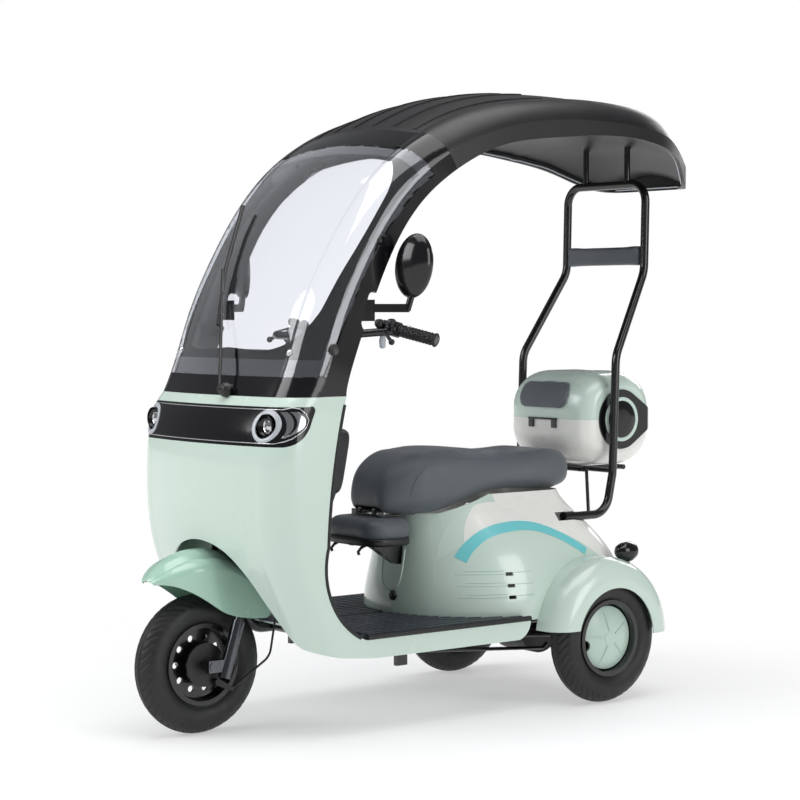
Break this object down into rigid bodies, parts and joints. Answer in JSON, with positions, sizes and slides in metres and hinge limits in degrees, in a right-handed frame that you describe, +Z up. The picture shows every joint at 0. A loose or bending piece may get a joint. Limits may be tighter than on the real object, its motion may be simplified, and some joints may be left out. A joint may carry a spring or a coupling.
{
  "type": "covered electric tricycle",
  "caption": "Covered electric tricycle with a raked steering fork, free-turning wheels, lifting saddle, opening top box and a hooped roof with windshield.",
  "frame": {"origin": "on the floor under the middle of the vehicle's outline", "axes": "+Z up, the front of the vehicle points to -Y, the rider's left is +X"},
  "size_m": [0.9048, 1.886, 1.7492],
  "materials": {
    "axle_steel": "black axle paint",
    "battery_case": "battery case",
    "black_gloss_plastic": "black gloss moulding",
    "black_plastic": "black grained moulding",
    "cable_jacket": "black cable jacket",
    "cap_paint": "mint hub cap",
    "control_plastic": "black control moulding",
    "deep_mint_plastic": "deeper mint gloss moulding",
    "fork_steel": "bright fork tube",
    "frame_paint": "black powder coat",
    "grip_rubber": "black hand grip",
    "lamp_lens": "clear lamp lens",
    "mat_rubber": "ribbed dark grey mat",
    "mint_plastic": "pale mint gloss moulding",
    "mirror_glass": "silvered mirror glass",
    "red_lens": "red lamp lens",
    "seat_cover": "dark grey seat cover",
    "spring_paint": "orange spring enamel",
    "tyre": "black tyre rubber",
    "wheel_paint": "black wheel enamel",
    "white_plastic": "white gloss moulding",
    "windshield": "clear laminated sheet",
    "wiper_paint": "black wiper enamel"
  },
  "bodies": {
    "vehicle": {"main_frame": "frame_paint", "front_shield": "mint_plastic", "light_bar": "black_gloss_plastic", "headlamps": "lamp_lens", "inner_leg_shield": "mint_plastic", "column_cover": "black_plastic", "dashboard": "black_plastic", "wiper": "wiper_paint", "mirror_glasses": "mirror_glass", "windshield_frame": "black_gloss_plastic", "windshield_glass": "windshield", "roof_panel": "black_gloss_plastic", "floor_pan": "mint_plastic", "floor_mat": "mat_rubber", "seat_body": "mint_plastic", "rear_cover": "white_plastic", "tail_lamp": "red_lens", "plate_bracket": "frame_paint", "battery_pack": "battery_case", "saddle_hinge": "frame_paint", "box_hinge": "frame_paint", "rear_mudguard_left": "mint_plastic", "rear_mudguard_right": "mint_plastic", "child_seat": "seat_cover", "child_seat_bracket": "frame_paint", "rear_hoop": "frame_paint", "roof_stays": "frame_paint", "backrest_pad": "seat_cover", "luggage_carrier": "frame_paint", "box_base": "white_plastic", "box_base_trims": "black_gloss_plastic", "mirror_left": "black_gloss_plastic", "mirror_right": "black_gloss_plastic", "rear_turn_lamps": "black_gloss_plastic", "rear_axle": "axle_steel", "dampers": "fork_steel", "coil_springs": "spring_paint"},
    "steering": {"front_fork": "fork_steel", "handlebar": "frame_paint", "grips": "grip_rubber", "hand_controls": "control_plastic", "front_brake_plate": "axle_steel", "front_brake_cable": "cable_jacket", "front_mudguard": "deep_mint_plastic"},
    "front_wheel": {"front_tyre": "tyre", "front_rim": "wheel_paint"},
    "rear_wheel_left": {"rear_tyre_left": "tyre", "rear_rim_left": "wheel_paint", "hub_cap_left": "cap_paint"},
    "rear_wheel_right": {"rear_tyre_right": "tyre", "rear_rim_right": "wheel_paint", "hub_cap_right": "cap_paint"},
    "saddle": {"saddle": "seat_cover", "saddle_lugs": "frame_paint"},
    "box_lid": {"box_lid": "mint_plastic", "box_lid_trims": "black_gloss_plastic", "box_pad": "seat_cover"}
  },
  "joints": [
    {"name": "steering_turn", "type": "hinge", "parent": "vehicle", "child": "steering", "pos_m": [0, -0.711, 0.186], "axis": [0, 0.3007, 0.9537], "range_deg": [-25, 25]},
    {"name": "front_wheel_spin", "type": "hinge", "parent": "steering", "child": "front_wheel", "pos_m": [0, -0.757, 0.186], "axis": [1, 0, 0], "continuous": true},
    {"name": "rear_left_spin", "type": "hinge", "parent": "vehicle", "child": "rear_wheel_left", "pos_m": [0.334, 0.403, 0.186], "axis": [1, 0, 0], "continuous": true},
    {"name": "rear_right_spin", "type": "hinge", "parent": "vehicle", "child": "rear_wheel_right", "pos_m": [-0.334, 0.403, 0.186], "axis": [1, 0, 0], "continuous": true},
    {"name": "saddle_lift", "type": "hinge", "parent": "vehicle", "child": "saddle", "pos_m": [0, -0.187, 0.557], "axis": [1, 0, 0], "range_deg": [0, 60]},
    {"name": "box_lid_open", "type": "hinge", "parent": "vehicle", "child": "box_lid", "pos_m": [0, 0.4725, 0.797], "axis": [1, 0, 0], "range_deg": [0, 70]}
  ]
}
